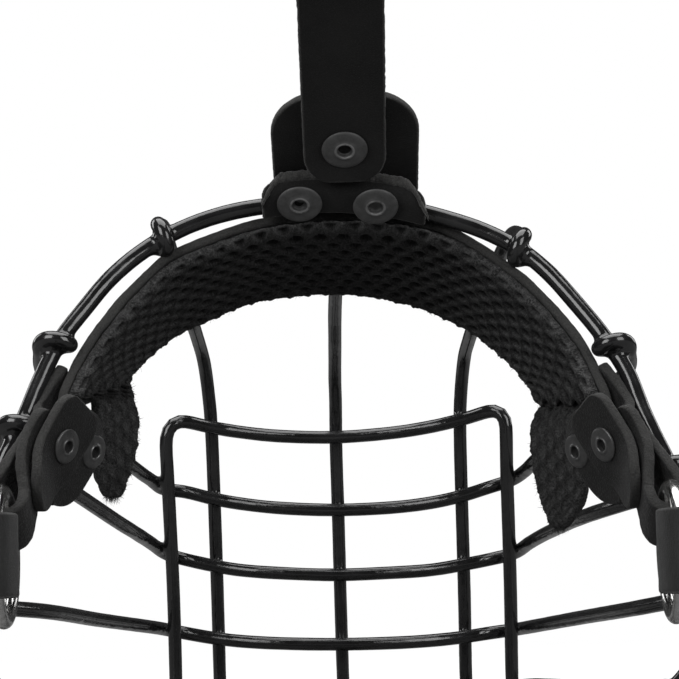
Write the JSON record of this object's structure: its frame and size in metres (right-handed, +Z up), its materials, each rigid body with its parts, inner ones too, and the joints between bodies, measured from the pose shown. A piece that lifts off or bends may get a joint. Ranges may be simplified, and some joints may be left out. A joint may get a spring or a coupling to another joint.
{
  "type": "basket muzzle",
  "caption": "Wire basket muzzle for a large dog, with a padded nose band, riveted leather tabs, strap rings, a buckled neck strap and a head strap.",
  "frame": {"origin": "on the flat underside of the middle wire under the chin, which is the face it rests on", "axes": "+Y towards the dog's nose, +Z up, +X to the dog's right seen from behind, X = 0 through the middle wire"},
  "size_m": [0.1815, 0.3866, 0.2038],
  "materials": {
    "wire": "glossy black dip coating over steel wire",
    "leather": "matte black grained leather",
    "mesh": "black spacer mesh",
    "rivet": "satin black painted hollow rivet",
    "steel": "bright plated steel"
  },
  "bodies": {
    "basket": {"rim_wire": "wire", "middle_wire": "wire", "left_nose_wire": "wire", "right_nose_wire": "wire", "front_frame_wire": "wire", "upper_cheek_wire": "wire", "middle_cheek_wire": "wire", "lower_cheek_wire": "wire", "chin_wire": "wire", "underside_cross_wire": "wire", "nose_pad_leather": "leather", "top_tab_inner_leather": "leather", "top_tab_outer_leather": "leather", "left_cheek_strap": "leather", "right_cheek_strap": "leather", "left_inner_tongue": "leather", "right_inner_tongue": "leather", "left_outer_tongue": "leather", "right_outer_tongue": "leather", "nose_pad_mesh_lining": "mesh", "top_rivet_left": "rivet", "top_rivet_right": "rivet", "head_strap_rivet": "rivet", "left_front_rivet": "rivet", "left_rear_rivet": "rivet", "right_front_rivet": "rivet", "right_rear_rivet": "rivet"},
    "head_strap": {"head_strap": "leather", "head_strap_loop_rivet": "rivet"},
    "left_ring": {"left_ring": "steel"},
    "right_ring": {"right_ring": "steel"},
    "left_neck_strap": {"left_neck_strap": "leather", "left_neck_strap_rivet": "rivet", "buckle_fold_rivet": "rivet", "buckle_frame": "steel"},
    "right_neck_strap": {"right_neck_strap": "leather", "right_neck_strap_rivet": "rivet"},
    "buckle_tongue": {"buckle_tongue": "steel"},
    "buckle_roller": {"buckle_roller": "steel"},
    "keeper": {"strap_keeper": "leather"}
  },
  "joints": [
    {"name": "head_strap_swivel", "type": "hinge", "parent": "basket", "child": "head_strap", "pos_m": [0.0046, -0.08875, 0.14945], "axis": [0, -0.6392, -0.769], "range_deg": [-25, 25]},
    {"name": "left_ring_swing", "type": "hinge", "parent": "basket", "child": "left_ring", "pos_m": [-0.0725, -0.1112, 0.06592], "axis": [0, 0.766, -0.6428], "range_deg": [0, 15]},
    {"name": "right_ring_swing", "type": "hinge", "parent": "basket", "child": "right_ring", "pos_m": [0.0729, -0.1112, 0.06252], "axis": [0, -0.766, 0.6428], "range_deg": [0, 15]},
    {"name": "left_neck_strap_swing", "type": "hinge", "parent": "left_ring", "child": "left_neck_strap", "pos_m": [-0.0725, -0.1202, 0.0552], "axis": [1, 0, 0], "range_deg": [-18, 35]},
    {"name": "right_neck_strap_swing", "type": "hinge", "parent": "right_ring", "child": "right_neck_strap", "pos_m": [0.0729, -0.1202, 0.0518], "axis": [1, 0, 0], "range_deg": [-18, 35]},
    {"name": "buckle_tongue_pivot", "type": "hinge", "parent": "left_neck_strap", "child": "buckle_tongue", "pos_m": [-0.0726, -0.238, 0.0552], "axis": [0, 0, -1], "range_deg": [0, 100]},
    {"name": "buckle_roller_spin", "type": "hinge", "parent": "left_neck_strap", "child": "buckle_roller", "pos_m": [-0.0726, -0.261, 0.0552], "axis": [0, 0, 1], "continuous": true},
    {"name": "keeper_slide", "type": "slide", "parent": "left_neck_strap", "child": "keeper", "axis": [0, 1, 0], "range_m": [-0.012, 0.012]}
  ]
}
